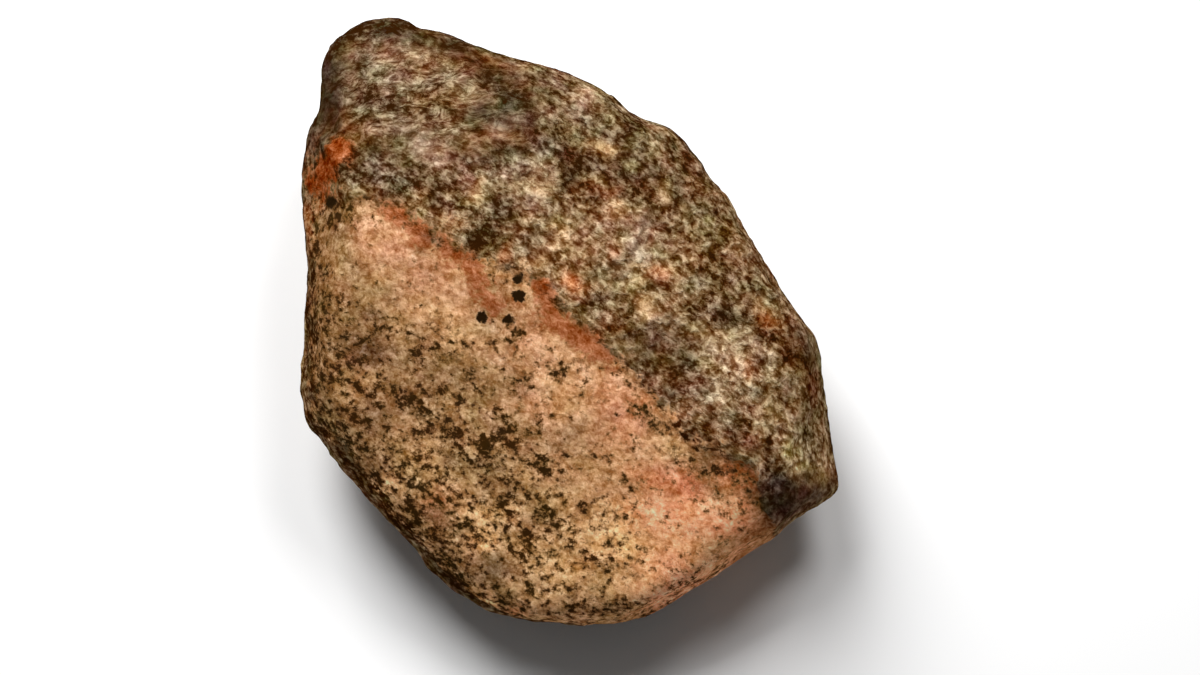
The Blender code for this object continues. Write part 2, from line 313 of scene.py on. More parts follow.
def to_world(points):
    """Turns points of the face frame back by LEAN and sets them at their height above the floor."""
    u, v, w = points.T
    lean_cos, lean_sin = math.cos(LEAN), math.sin(LEAN)
    forth = v * lean_cos - w * lean_sin
    up = v * lean_sin + w * lean_cos
    return np.column_stack([u + SHIFT[0], forth + SHIFT[1], up + MIDDLE_HEIGHT])


def cube_grid(cells):
    """The corners, from -1 to 1, and the quads of a cube with a square grid on each side."""
    first, second = np.meshgrid(np.arange(cells + 1), np.arange(cells + 1), indexing="ij")
    numbers = np.arange((cells + 1) ** 2).reshape(cells + 1, cells + 1)
    ring = np.stack([numbers[:-1, :-1], numbers[1:, :-1], numbers[1:, 1:], numbers[:-1, 1:]], axis=-1)
    corners, quads = [], []
    for axis in range(3):
        for level in (0, cells):
            side = np.empty((numbers.size, 3), dtype=np.int64)
            side[:, axis] = level
            side[:, (axis + 1) % 3] = first.ravel()
            side[:, (axis + 2) % 3] = second.ravel()
            turned = ring if level else ring[..., ::-1]
            quads.append(turned.reshape(-1, 4) + len(corners) * numbers.size)
            corners.append(side)
    corners, places = np.unique(np.concatenate(corners), axis=0, return_inverse=True)
    return corners / cells * 2 - 1, places.ravel()[np.concatenate(quads)]


# The stone's surface
# Up close the dark crust is a mass of crystals and pits 3 to 11 mm across, and the pale face is
# worn nearly smooth. Both are raised in the mesh along its own normals, in metres.

CRYSTALS = (0.0056, 0.0010)
RIPPLES = (0.011, 0.0009)
PALE_RELIEF = 0.30

# Each place is pushed about, so that no crystal or marking has a straight or round edge: how far,
# the sizes of the noise that pushes it, and the seeds of the push along u and the push along v.
PUSH = 0.0045
PUSH_SIZES = (0.0085, 0.020)
PUSH_SEEDS = (31, 32)

grid_corners, grid_quads = cube_grid(SIDE_CELLS)
rays = np.tan(grid_corners * math.pi / 4)
rays /= np.linalg.norm(rays, axis=1, keepdims=True)
face_points = cast(rays * STRETCH)

stone_mesh = bpy.data.meshes.new("meteorite_surface")
stone_mesh.from_pydata(to_world(face_points), [], grid_quads)
stone_mesh.update()


# The brown rim round the pale face is this wide (metres) at these angles round it (degrees). Where
# the width is below 0, the pale face runs on over the edge. Below RIM_LEVEL lies the wall.
RIM_LEVEL = 0.022
RIM_ANGLES = (-180, -165, -150, -135, -120, -105, -90, -75, -60, -45, -30, 150, 165, 180)
RIM_WIDTHS = (
    0.007, 0.008, 0.011, 0.009, 0.008, 0.003, 0.0, -0.010, -0.030, -0.030, 0.0, 0.006, 0.006, 0.007,
)


def edge_inset(points):
    """How far each point lies inside the outline of the broad face; below 0 down the wall."""
    u, v, w = points.T
    angle = np.arctan2(v, u)
    inset = (np.interp(angle, EVEN, RADIUS) - np.hypot(u, v)) * np.interp(angle, EVEN, SQUARENESS)
    return inset - np.maximum(RIM_LEVEL - w, 0)


def pale_inset(points):
    """How far each point lies inside the pale face, from the seam or from its brown rim."""
    angle = np.degrees(np.arctan2(points[:, 1], points[:, 0]))
    rim = np.interp(angle, RIM_ANGLES, RIM_WIDTHS)
    return np.minimum(-above_seam(points), edge_inset(points) - rim)


normals = np.empty(len(stone_mesh.vertices) * 3)
stone_mesh.vertices.foreach_get("normal", normals)
pale_share = smooth_step(pale_inset(face_points) / SEAM_WIDTH + 0.5)
pushes = np.zeros((len(face_points), 3))
for axis, seed in enumerate(PUSH_SEEDS):
    pushes[:, axis] = sum(smooth_noise(face_points / size, seed) for size in PUSH_SIZES)
ragged_places = face_points + PUSH * pushes
raised = CRYSTALS[1] * smooth_noise(ragged_places / CRYSTALS[0], seed=11)
raised += RIPPLES[1] * smooth_noise(ragged_places / RIPPLES[0], seed=13)
raised *= 1 - (1 - PALE_RELIEF) * pale_share
stone_points = to_world(face_points) + normals.reshape(-1, 3) * raised[:, None]

# What would lie under the floor is drawn in to it along its ray, which makes the flat spot.
middle = to_world(np.zeros((1, 3)))[0]
drawn_in = np.minimum(1, middle[2] / np.maximum(middle[2] - stone_points[:, 2], 1e-6))
stone_points = middle + (stone_points - middle) * drawn_in[:, None]
stone_points[drawn_in < 1, 2] = 0
stone_mesh.vertices.foreach_set("co", stone_points.ravel())
stone_mesh.update()
stone_mesh.shade_smooth()


# The stone's markings
# The broad face is broken open to salmon dust with black grains, rust has run along the seam, and
# the crust round the rest is brown with paler and darker patches. Some of the lighter and darker
# patches are painted light and shade.

# Colours are sRGB, from 0 to 255, and each is the average of a patch, whose grain the material adds.
COLOURS = {
    "night": (50, 32, 16),
    "dusk": (68, 50, 38),
    "umber": (74, 48, 24),
    "chestnut": (90, 52, 24),
    "bark": (98, 70, 42),
    "moss": (88, 68, 36),
    "olive": (120, 98, 66),
    "khaki": (134, 112, 78),
    "plum": (92, 66, 46),
    "mauve": (120, 94, 76),
    "greige": (146, 118, 90),
    "pearl": (164, 140, 114),
    "cream": (178, 148, 114),
    "blush": (186, 146, 120),
    "straw": (172, 150, 98),
    "sand": (176, 140, 98),
    "ochre": (126, 88, 48),
    "copper": (150, 96, 62),
    "brick": (128, 76, 54),
    "rust": (138, 70, 36),
    "peach": (228, 168, 126),
    "salmon": (218, 140, 104),
    "coral": (190, 116, 80),
    "apricot": (218, 168, 116),
    "tan": (184, 142, 100),
    "tawny": (138, 102, 66),
    "fawn": (186, 144, 100),
    "honey": (212, 162, 112),
}

# The crust's ground colour, and the soft patches on it: the middle (u, v) of each, half its length
# and width, all in mm, its turn in degrees, its colour and its strength. Later ones lie over
# earlier ones.
CRUST_COLOUR = (126, 96, 66)
CRUST_PATCHES = (
    (-100, 151, 50, 13, -8, "bark", 0.80), (-60, 142, 30, 14, -32, "bark", 0.70),
    (-112, 157, 12, 7, -20, "plum", 0.70), (-94, 161, 15, 7, 0, "night", 0.85),
    (-78, 151, 10, 9, -20, "moss", 0.80), (-56, 146, 15, 9, -32, "chestnut", 0.90),
    (-43, 136, 11, 7, -30, "umber", 0.80), (-33, 126, 15, 5, -15, "umber", 0.80),
    (-20, 106, 9, 16, 0, "plum", 0.75), (-121, 150, 6, 5, 0, "moss", 0.60),
    (-89, 148, 6, 4, 0, "pearl", 0.75), (-79, 148, 5, 4, 0, "olive", 0.60),
    (-119, 140, 10, 5, 0, "khaki", 0.60), (-106, 137, 10, 4, -15, "cream", 0.60),
    (-94, 132, 5, 3, 0, "blush", 0.70), (-66, 132, 13, 7, -30, "cream", 0.70),
    (-56, 121, 8, 6, 0, "khaki", 0.85), (-79, 136, 7, 4, 0, "copper", 0.40),
    (-92, 146, 28, 10, -6, "greige", 0.60), (-122, 118, 7, 5, 0, "pearl", 0.45),
    (-122, 129, 10, 5, 0, "moss", 0.60), (-105, 123, 16, 4, -4, "umber", 0.60),
    (-79, 117, 14, 5, 0, "ochre", 0.60), (-110, 113, 6, 5, 0, "greige", 0.60),
    (-97, 106, 6, 6, 0, "cream", 0.55), (-108, 101, 12, 4, 0, "copper", 0.35),
    (-77, 97, 17, 8, 4, "pearl", 0.75), (-62, 101, 8, 5, 10, "mauve", 0.40),
    (-103, 94, 13, 6, 0, "moss", 0.70), (-104, 84, 6, 6, 0, "blush", 0.40),
    (-88, 84, 14, 5, 0, "olive", 0.50), (-96, 76, 12, 5, 0, "mauve", 0.60),
    (-121, 80, 8, 6, 0, "bark", 0.60), (-49, 107, 13, 9, 0, "olive", 0.70),
    (-35, 114, 8, 7, 0, "mauve", 0.60), (-40, 102, 12, 4, 16, "copper", 0.60),
    (-34, 94, 10, 4, 0, "umber", 0.60), (-50, 94, 12, 4, 8, "ochre", 0.50),
    (-71, 84, 7, 8, 0, "blush", 0.45), (-55, 74, 5, 6, 0, "brick", 0.60),
    (-48, 77, 4, 8, 0, "sand", 0.75), (-72, 66, 5, 8, 0, "umber", 0.60),
    (-90, 68, 12, 4, 0, "bark", 0.50), (-24, 76, 22, 13, -12, "pearl", 0.60),
    (-14, 71, 8, 7, 0, "sand", 0.70), (-30, 72, 8, 6, 0, "straw", 0.35),
    (-14, 62, 8, 4, 0, "mauve", 0.70), (-36, 60, 8, 5, 0, "mauve", 0.60),
    (-49, 46, 6, 8, 0, "umber", 0.80), (-56, 58, 7, 5, 0, "umber", 0.50),
    (-26, 44, 14, 8, -20, "greige", 0.50), (-34, 35, 3, 7, -20, "coral", 0.45),
    (-19, 29, 8, 4, 0, "sand", 0.80), (-6, 17, 6, 4, 0, "mauve", 0.70),
    (4, 20, 11, 7, -10, "coral", 0.55), (8, 10, 7, 3, 0, "brick", 0.60),
    (16, 25, 8, 6, 0, "olive", 0.60), (17, 9, 3, 3, 0, "umber", 0.80),
    (-25, 137, 7, 5, 0, "sand", 0.50), (-15, 129, 9, 5, 0, "moss", 0.70),
    (-8, 129, 8, 5, 0, "blush", 0.55), (-18, 116, 5, 8, 0, "greige", 0.40),
    (9, 120, 8, 7, 0, "blush", 0.75), (0, 115, 9, 3, -45, "blush", 0.50),
    (2, 106, 6, 7, 0, "sand", 0.70), (12, 106, 7, 7, 0, "khaki", 0.60),
    (21, 119, 9, 6, -35, "khaki", 0.60), (26, 104, 5, 6, 0, "olive", 0.60),
    (34, 106, 6, 6, 0, "umber", 0.80), (50, 103, 8, 6, -35, "sand", 0.75),
    (58, 96, 6, 6, 0, "olive", 0.50), (48, 94, 4, 5, 0, "cream", 0.60),
    (22, 93, 15, 3, -8, "sand", 0.60), (8, 100, 14, 4, 0, "moss", 0.50),
    (18, 85, 14, 5, 0, "chestnut", 0.75), (2, 88, 5, 4, 0, "brick", 0.70),
    (0, 74, 6, 14, 8, "umber", 0.85), (36, 84, 6, 3, -20, "straw", 0.85),
    (44, 84, 5, 3, 0, "olive", 0.60), (16, 71, 13, 5, 0, "copper", 0.90),
    (13, 77, 7, 3, 0, "sand", 0.50), (34, 73, 10, 6, -30, "chestnut", 0.75),
    (52, 84, 4, 6, 0, "brick", 0.50), (61, 78, 5, 9, 0, "moss", 0.75),
    (52, 68, 4, 10, 0, "ochre", 0.60), (68, 76, 6, 8, 0, "copper", 0.50),
    (67, 64, 6, 4, 0, "sand", 0.50), (72, 40, 24, 34, 30, "bark", 0.60),
    (80, 52, 12, 12, 0, "moss", 0.40), (60, 30, 10, 14, 0, "olive", 0.50),
    (75, 55, 4, 3, 0, "straw", 0.60), (90, 22, 10, 8, 0, "olive", 0.45),
    (70, 20, 8, 6, 0, "greige", 0.40), (12, 52, 12, 9, 0, "greige", 0.55),
    (17, 62, 6, 8, 20, "umber", 0.35), (38, 44, 8, 15, -14, "pearl", 0.85),
    (28, 32, 5, 9, 0, "greige", 0.50), (24, 39, 5, 4, 0, "brick", 0.55),
    (47, 46, 3, 6, 0, "brick", 0.45), (47, 25, 7, 6, 0, "coral", 0.40),
    (36, 19, 6, 7, 0, "straw", 0.45), (41, 6, 5, 8, 0, "sand", 0.90),
    (33, 4, 3, 10, 0, "moss", 0.70), (22, 0, 10, 9, 0, "bark", 0.60),
    (58, 6, 8, 8, 0, "greige", 0.45), (55, -12, 32, 9, -8, "plum", 0.85),
    (46, -26, 18, 6, 0, "umber", 0.70), (67, -25, 7, 6, 0, "night", 0.75),
    (68, -14, 6, 5, 0, "mauve", 0.70), (44, -38, 9, 7, 0, "brick", 0.40),
    (64, -40, 12, 8, 0, "mauve", 0.60), (86, 1, 26, 5, -6, "umber", 0.80),
    (72, -6, 6, 5, 0, "straw", 0.55), (86, -16, 16, 11, -20, "cream", 0.80),
    (100, -40, 10, 4, -30, "pearl", 0.75), (82, -34, 14, 7, 0, "greige", 0.65),
    (93, -14, 4, 4, 0, "umber", 0.55), (96, -28, 3, 6, 0, "copper", 0.70),
    (106, -16, 8, 7, 0, "blush", 0.45), (118, -28, 12, 10, 0, "olive", 0.65),
    (110, -8, 6, 5, 0, "night", 0.80), (108, 0, 6, 4, -30, "copper", 0.90),
    (121, -3, 8, 5, -40, "chestnut", 0.80), (104, 9, 8, 4, -40, "sand", 0.60),
    (121, -20, 20, 7, -50, "chestnut", 0.90), (132, -36, 5, 16, 6, "chestnut", 0.90),
    (131, -9, 5, 5, 0, "khaki", 0.60), (82, -40, 9, 6, 0, "pearl", 0.60),
    (91, -60, 7, 6, 0, "umber", 0.85), (102, -50, 8, 3, -20, "umber", 0.60),
    (104, -58, 4, 4, 0, "cream", 0.60), (122, -52, 4, 4, 0, "pearl", 0.70),
    (130, -58, 6, 12, 0, "moss", 0.55), (122, -69, 6, 5, 0, "straw", 0.95),
    (128, -80, 5, 4, 0, "straw", 0.80), (112, -64, 5, 8, 0, "greige", 0.55),
    (108, -72, 4, 9, 0, "night", 0.85), (84, -54, 12, 7, 0, "mauve", 0.50),
    (78, -66, 14, 6, 0, "bark", 0.70), (64, -60, 7, 5, 0, "umber", 0.85),
    (94, -66, 8, 6, 0, "brick", 0.50), (122, -98, 30, 10, 24, "dusk", 0.97),
    (112, -94, 10, 14, 20, "dusk", 0.95), (136, -86, 8, 7, 0, "bark", 0.75),
    # The dark strip down the left side of the tip is its crust with painted shade on that side face.
    (-132, 128, 6, 24, -6, "plum", 0.90), (-128, 108, 10, 9, 0, "umber", 0.95),
    (-140, 100, 6, 22, 0, "plum", 0.80), (-119, 98, 8, 12, 0, "chestnut", 0.85),
    (-86, 124, 52, 32, -10, "mauve", 0.26),
)

# The brown rim that shows along the left and lower left of the pale face: partly the crust's own
# colour, and partly painted shade along the stone's edge.
RIM_COLOUR = (84, 60, 36)
RIM_PATCHES = (
    (-143, 58, 5, 22, 0, "copper", 0.85), (-138, 22, 6, 12, 0, "bark", 0.60),
    (-142, -8, 6, 22, 0, "umber", 0.80), (-140, -40, 8, 14, 0, "bark", 0.80),
    (-118, -78, 20, 8, -40, "bark", 0.80), (-92, -112, 18, 6, -40, "umber", 0.90),
    (-64, -140, 8, 8, 0, "night", 0.90), (-44, -155, 10, 4, -20, "night", 0.60),
)

# The pale face, in the same way.
FACE_COLOUR = (190, 142, 98)
FACE_PATCHES = (
    (-76, -76, 66, 70, 0, "fawn", 0.85), (-14, -128, 34, 40, 0, "fawn", 0.55),
    (34, -128, 24, 30, 0, "honey", 0.70), (-122, 20, 14, 50, 0, "tawny", 0.65),
    (-116, 60, 14, 8, 0, "tan", 0.70), (-108, 48, 8, 10, 0, "peach", 0.50),
    (-96, 40, 17, 12, -25, "peach", 0.95), (-76, 22, 20, 14, -35, "salmon", 0.45),
    (-106, 14, 16, 10, -30, "tan", 0.60), (-56, 16, 10, 12, -40, "peach", 0.40),
    (-70, 4, 18, 8, -30, "apricot", 0.40), (-14, 11, 5, 6, 0, "rust", 0.50),
    (-24, -10, 14, 14, -40, "peach", 0.70), (-12, -22, 14, 10, -40, "peach", 0.80),
    (-30, 8, 7, 5, 0, "coral", 0.50), (4, -40, 22, 16, -50, "apricot", 0.70),
    (18, -34, 12, 8, -40, "peach", 0.60), (30, -52, 20, 16, -40, "salmon", 0.55),
    (44, -44, 8, 5, 0, "coral", 0.50), (54, -68, 12, 10, 0, "apricot", 0.55),
    (48, -86, 16, 9, -10, "coral", 0.80), (66, -88, 14, 10, -20, "coral", 0.85),
    (61, -92, 5, 3, 0, "rust", 0.50), (52, -108, 12, 8, -15, "peach", 0.90),
    (76, -84, 5, 18, 20, "tan", 0.50), (56, -134, 20, 18, 30, "salmon", 0.50),
    (60, -150, 18, 8, 30, "salmon", 0.70), (88, -112, 12, 8, 0, "salmon", 0.40),
    (22, -110, 14, 16, 0, "apricot", 0.85), (12, -148, 18, 10, 0, "tan", 0.60),
    (84, -88, 6, 8, 0, "tawny", 0.70), (96, -84, 18, 10, 0, "rust", 0.75),
    (100, -100, 8, 12, 20, "rust", 0.60), (108, -104, 9, 16, 20, "umber", 0.85),
    (100, -114, 8, 8, 20, "chestnut", 0.60), (74, -104, 36, 14, -12, "salmon", 0.50),
    (96, -124, 10, 8, 20, "tawny", 0.75), (14, -132, 12, 10, 0, "tawny", 0.40),
    (-30, -160, 10, 5, 0, "coral", 0.60), (-72, -100, 9, 7, 0, "coral", 0.35),
    (-44, -104, 14, 12, 0, "apricot", 0.45), (-128, -36, 14, 18, 0, "tawny", 0.50),
    (-112, -78, 12, 10, 0, "tawny", 0.50), (-110, -18, 13, 9, 0, "mauve", 0.60),
    (-106, 2, 8, 5, 0, "mauve", 0.40), (-104, -54, 12, 14, 0, "greige", 0.35),
    (-38, -135, 14, 8, 0, "greige", 0.40), (-48, -84, 20, 10, -20, "khaki", 0.30),
    (-20, -46, 14, 10, -40, "peach", 0.45), (44, -106, 20, 8, 0, "salmon", 0.45),
    (62, -152, 26, 12, 32, "salmon", 0.75), (94, -128, 16, 8, 32, "coral", 0.50),
    (-70, -104, 9, 9, 0, "brick", 0.40), (-92, -54, 14, 16, 0, "copper", 0.28),
    (-50, -48, 6, 6, 0, "straw", 0.50), (-20, -102, 16, 12, 0, "olive", 0.30),
    (-92, -76, 14, 12, 0, "sand", 0.35), (-130, -52, 7, 5, 0, "straw", 0.40),
    (-4, -48, 56, 34, -45, "salmon", 0.13),
)

# What the colours are multiplied by in soft patches: the middle (u, v) and half the length and
# width in mm, the turn in degrees, and the factor. Later ones lie over earlier ones. Partly these are
# the stone's own lighter and darker patches, and partly painted light and shade: the crust is made
# darker towards the tip and along the tip's edges, and the pale face lighter towards the bottom and
# along its lower and lower right rims and darker along its left edge.
CRUST_TONE_AND_PAINTED_LIGHT = (
    (-10, 112, 120, 40, -30, 0.88), (-96, 140, 60, 46, 0, 0.79), (-134, 120, 10, 50, 0, 0.66),
    (-84, 164, 50, 14, -10, 0.66), (-120, 160, 14, 8, 30, 0.54), (-131, 138, 8, 22, 0, 0.56),
    (-86, 144, 20, 7, -6, 0.94), (-97, 109, 12, 7, 0, 0.74), (-70, 131, 8, 6, 0, 0.74),
    (-30, 138, 70, 14, -26, 0.72), (-46, 142, 12, 7, -30, 0.86), (-40, 112, 14, 12, 0, 0.68),
    (-100, 120, 14, 9, 0, 0.72), (-62, 121, 12, 8, 0, 0.94), (-28, 98, 26, 9, 0, 0.76),
    (-66, 80, 28, 10, 0, 0.72), (-42, 54, 13, 20, -20, 0.70), (-20, 44, 10, 9, 0, 0.84),
    (-20, 24, 12, 8, 0, 0.88), (20, 60, 10, 8, 0, 1.08), (52, 86, 30, 18, -50, 0.72),
    (20, 80, 30, 9, -20, 0.68), (-104, 82, 24, 12, 0, 0.68), (84, 4, 20, 10, 0, 0.82),
    (50, -24, 26, 16, -10, 0.88), (124, -14, 12, 14, 0, 0.80), (138, -40, 6, 14, 0, 1.00),
    (120, -88, 30, 26, 0, 1.24), (112, -92, 9, 13, 20, 0.90), (118, -62, 12, 8, 0, 0.94),
    (132, -70, 10, 8, 0, 1.00),
)
# The pale face's factors: painted light towards the bottom and along the lower and lower right rims,
# painted shade along the left edge, and the face's own lighter and darker patches.
FACE_TONE_AND_PAINTED_LIGHT = (
    (-40, -110, 90, 60, 0, 1.10), (20, -140, 60, 30, 0, 1.12), (-4, -132, 22, 22, 0, 1.18),
    (-70, -78, 30, 20, 0, 1.10), (-138, 20, 10, 50, 0, 0.84), (-126, 56, 22, 14, 0, 0.80),
    (-102, 48, 14, 12, 0, 0.88), (-82, 34, 20, 9, -35, 0.92), (-40, 12, 12, 16, 40, 0.84),
    (-18, 0, 12, 12, 0, 0.90), (-84, -24, 20, 12, 0, 0.86), (-80, -42, 14, 8, 0, 0.88),
    (-36, -40, 14, 8, 0, 0.88), (-20, -60, 44, 10, 0, 0.90), (-34, -100, 24, 12, 0, 1.22),
    (60, -142, 30, 12, 30, 1.12), (94, -112, 16, 24, -50, 1.30), (62, -108, 26, 22, 0, 1.16),
    (-40, -160, 16, 8, 0, 1.25), (-120, -80, 12, 12, 0, 1.20),
)

# Smaller places that are lighter or darker than round them: partly the stone's own tone, and partly
# painted light and shade, such as the painted light along the lower edge and the lower right rim of
# the pale face. Here every patch multiplies the colours, also where patches lie over each other.
TOUCHES_AND_PAINTED_LIGHT = (
    (-61, 150, 8, 5, -20, 0.78), (-66, 139, 9, 5, -30, 1.14), (-40, 141, 8, 5, -30, 1.25),
    (-71, 131, 7, 5, 0, 0.90), (-31, 119, 7, 6, 0, 0.72), (11, 121, 8, 6, -20, 1.25),
    (-51, 110, 7, 6, 0, 0.74), (-22, 109, 7, 6, 0, 0.86), (-30, 100, 6, 4, 0, 1.28),
    (20, 100, 6, 5, 0, 0.82), (-35, 89, 11, 6, 0, 0.76), (-8, 91, 9, 6, 0, 0.78),
    (21, 91, 7, 5, 0, 1.36), (47, 91, 10, 6, -40, 1.22), (-25, 80, 20, 5, 0, 0.88),
    (34, 80, 10, 5, 0, 0.84), (-66, 65, 9, 9, 0, 0.78), (-51, 66, 5, 7, 0, 1.28),
    (11, 69, 6, 5, 0, 0.80), (50, 70, 6, 6, 0, 1.30), (29, 60, 7, 5, 0, 1.20),
    (-57, 52, 9, 5, 0, 1.25), (-5, 47, 9, 10, 0, 1.18), (25, 50, 10, 6, 0, 0.90),
    (-20, 31, 7, 5, 0, 1.15), (46, 30, 10, 6, 0, 1.18), (1, 20, 6, 5, 0, 1.20),
    (46, 19, 10, 6, 0, 0.88), (15, 10, 10, 6, 0, 0.82), (70, 20, 6, 5, 0, 0.86),
    (-90, 70, 10, 6, 0, 0.74), (-121, 82, 7, 6, 0, 0.84), (-99, 98, 8, 12, 0, 0.86),
    (-79, 41, 7, 6, 0, 0.84), (98, 16, 16, 9, -40, 0.84), (108, 1, 16, 5, -45, 1.25),
    (91, -62, 7, 6, 0, 0.74), (115, -54, 11, 7, 0, 1.18), (74, -73, 8, 8, 0, 0.84),
    (86, -87, 8, 7, 0, 1.15), (116, -100, 20, 10, 24, 0.92), (140, -84, 6, 11, 0, 1.28),
    (97, -103, 8, 9, 0, 1.15), (-105, -14, 9, 8, 0, 0.78), (-105, -54, 9, 13, 0, 0.86),
    (-119, -34, 9, 12, 0, 1.15), (-60, -14, 9, 7, 0, 1.15), (-60, -30, 9, 6, 0, 0.88),
    (-60, -75, 9, 7, 0, 0.82), (-40, -92, 12, 8, 0, 0.84), (-46, -120, 8, 7, 0, 1.25),
    (-38, -136, 13, 8, 0, 0.80), (-44, -152, 8, 6, 0, 1.25), (-100, -92, 10, 8, 0, 1.20),
    (1, -60, 8, 7, 0, 0.88), (30, -15, 8, 6, 0, 1.18), (32, -31, 8, 6, 0, 0.88),
    (38, -106, 14, 8, 0, 1.10), (26, -122, 14, 8, 0, 1.10), (62, -148, 16, 7, 30, 1.12),
    (82, 11, 9, 9, 0, 0.92),
)

# How strongly the crust's crystals stand out, as a share, in soft patches laid over each other.
TONE_PATCHES = (
    (-84, 164, 50, 12, -10, 0.65), (-134, 116, 12, 40, 0, 0.45), (-36, 138, 40, 10, -28, 0.75),
    (-40, 112, 16, 12, 0, 0.75), (50, -18, 34, 12, -8, 0.72), (126, -20, 12, 18, 0, 0.70),
    (120, -98, 26, 12, 22, 0.45), (92, -28, 26, 20, 0, 1.15), (124, -72, 14, 12, 0, 1.30),
    (24, 84, 34, 12, -20, 0.90),
)

# How thick the dark grains lie on the pale face, from 0 to 1, in soft patches over each other: the
# middle (u, v), half the length and width in mm, the turn in degrees, and how thick they lie there.
GRAINS_ELSEWHERE = 0.34
GRAIN_PATCHES = (
    (-70, -78, 74, 84, 0, 0.72), (-116, -20, 30, 40, 0, 0.78), (-12, -130, 40, 44, 0, 0.68),
    (-100, 36, 40, 24, -20, 0.12), (-56, 12, 40, 16, -35, 0.20), (8, -42, 52, 20, -48, 0.28),
    (50, -104, 44, 46, 0, 0.24), (24, -126, 20, 34, 0, 0.55), (-136, -20, 12, 60, 0, 0.98),
    (-56, -66, 26, 11, 0, 0.88), (-122, -72, 18, 18, 0, 0.95), (-98, -104, 22, 18, -40, 0.95),
    (-72, -134, 24, 16, -40, 1.02), (-40, -153, 26, 8, 0, 0.88), (-20, -108, 16, 30, 0, 0.80),
    (-80, -46, 16, 8, 0, 0.88), (-86, -90, 22, 14, 0, 0.78), (-128, 58, 18, 12, 0, 0.95),
    (-139, 34, 7, 34, 0, 0.90), (-96, 64, 22, 9, -10, 0.75), (-62, 52, 24, 9, -30, 0.70),
    (-36, 34, 10, 8, -30, 0.60), (92, -92, 16, 18, 0, 0.55), (70, -86, 18, 10, 0, 0.42),
    (66, -146, 26, 8, 30, 0.80), (46, -52, 24, 7, -48, 0.80), (80, -81, 20, 6, -16, 0.85),
    (-4, -26, 8, 8, 0, 0.80), (-26, -10, 9, 7, 0, 0.65), (16, -160, 36, 8, 0, 0.80),
)

# The crust near the tip is drawn out into streaks along u.
STREAK_PATCHES = (
    (-84, 122, 56, 34, -8, 1.0), (-40, 108, 26, 22, -10, 0.6),
)

# Streaks of rust, and the orange patch at the left edge: half the width of each and the points that
# it runs through, in mm.
RUST_STREAKS = (
    (4.6, ((-16, 17), (-11, 8), (-5, -1), (4, -8), (14, -14), (22, -21))),
    (4.4, ((-96, 58), (-88, 54), (-80, 46), (-76, 43))),
    (4.2, ((-66, 38), (-60, 34))),
    (4.2, ((-54, 30), (-50, 22), (-44, 12), (-40, 6))),
)
ORANGE_PATCH = (8.5, ((-128, 91), (-132, 84), (-136, 74)))

# Clumps of grains: the middle (u, v) of each and its radius, in mm, and how thick the grains lie.
CLUMP_THICKNESS = 1.15
CLUMPS = (
    (-110, -12, 4), (-80, -17, 3), (-71, -14, 3), (-79, -47, 4), (-60, -64, 5), (-41, -68, 5),
    (-31, -73, 4), (-16, -77, 5), (-13, -105, 4), (6, -100, 3), (-35, -89, 3), (-72, -117, 4),
    (-64, -139, 5), (14, -126, 3), (-104, -34, 4), (-114, -54, 4), (-97, -80, 4), (-106, -86, 4),
    (-2, -27, 4), (-28, -9, 3), (-38, -150, 4), (-16, -152, 3), (-66, -98, 3), (-52, -80, 3),
    (-136, 30, 4), (-127, 52, 3), (-118, -24, 4), (-124, -70, 5), (-84, -104, 4), (-50, -118, 3),
)

# Lone black grains: the middle (u, v) and the radius of each, in mm.
BLACK_SPOTS = (
    (-129, 64, 3.4), (-26.5, 22, 3.0), (-26.5, 13, 2.6), (-46, 1, 2.8), (-31.5, -0.5, 2.8),
)

MM = 0.001

# How suddenly a patch ends at its edge, and how deep down the wall (metres) the patches fade out.
PATCH_EDGE = 1.3
PATCH_FADE = 0.02

# How far outside a streak or a spot every place off the broad face is taken to lie, in metres.
FAR_OUTSIDE = -0.02


def patch_weight(places, u, v, length, width, turn):
    """1 in the middle of a soft oval patch on the broad face, fading to 0 outside it."""
    turn = math.radians(turn)
    across, up = places[:, 0] - u * MM, places[:, 1] - v * MM
    along = (across * math.cos(turn) + up * math.sin(turn)) / (length * MM)
    aside = (up * math.cos(turn) - across * math.sin(turn)) / (width * MM)
    return np.exp(-((along**2 + aside**2) ** PATCH_EDGE)) * smooth_step(places[:, 2] / PATCH_FADE + 1)


def share_of(colour):
    """An sRGB colour from 0 to 255 as shares from 0 to 1."""
    return np.array(colour) / 255


def patched(places, ground, patches):
    """A colour for each place: the ground colour with soft patches laid over it in order."""
    colours = np.tile(share_of(ground), (len(places), 1))
    for u, v, length, width, turn, colour, strength in patches:
        weight = strength * patch_weight(places, u, v, length, width, turn)[:, None]
        colours = colours * (1 - weight) + share_of(COLOURS[colour]) * weight
    return colours


def overlaid(places, ground, patches):
    """A number for each place: the ground number with soft patches of others laid over it in order."""
    values = np.full(len(places), ground)
    for *patch, value in patches:
        values += (value - values) * patch_weight(places, *patch)
    return values


def touches_and_painted_light(places):
    """What the smaller lighter and darker places, partly painted light and shade, multiply the colours
    by.
    """
    factors = np.ones(len(places))
    for *patch, factor in TOUCHES_AND_PAINTED_LIGHT:
        factors *= 1 + (factor - 1) * patch_weight(places, *patch)
    return factors[:, None]


def streak_inset(points, half_width, route):
    """How far each point lies inside a streak of that half width along a route on the broad face."""
    nearest = np.inf
    route = np.array(route) * MM
    for start, end in zip(route, route[1:]):
        way = end - start
        along = np.clip((points[:, :2] - start) @ way / (way @ way), 0, 1)
        off = np.linalg.norm(points[:, :2] - start - along[:, None] * way, axis=1)
        nearest = np.minimum(nearest, off)
    return np.where(points[:, 2] > 0, half_width * MM - nearest, FAR_OUTSIDE)


